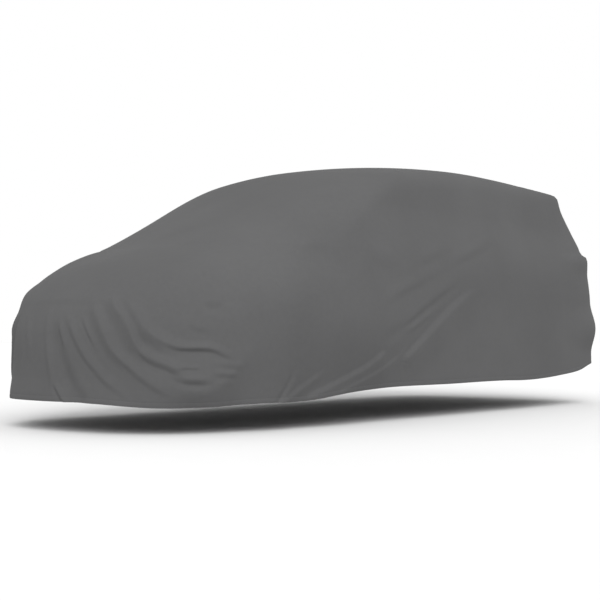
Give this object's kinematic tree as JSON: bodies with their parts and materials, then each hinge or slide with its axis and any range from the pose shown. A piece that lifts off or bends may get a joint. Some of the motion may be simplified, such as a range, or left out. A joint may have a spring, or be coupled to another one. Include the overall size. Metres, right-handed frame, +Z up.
{
  "type": "car cover",
  "caption": "Fitted grey cloth cover in the shape in which it drapes over a hatchback: hollow and open below, with swags at the front corners and long slanting pulls along its sides.",
  "frame": {"origin": "on the underside of the roof, at its highest point, where the cover is held", "axes": "+Z up; -Y towards the front of the cover; +X towards the side that the picture shows"},
  "size_m": [1.823, 4.2005, 1.4174],
  "materials": {
    "cover_cloth": "matte grey non-woven cloth, faintly mottled"
  },
  "bodies": {
    "root": {"cover": "cover_cloth"}
  },
  "joints": []
}
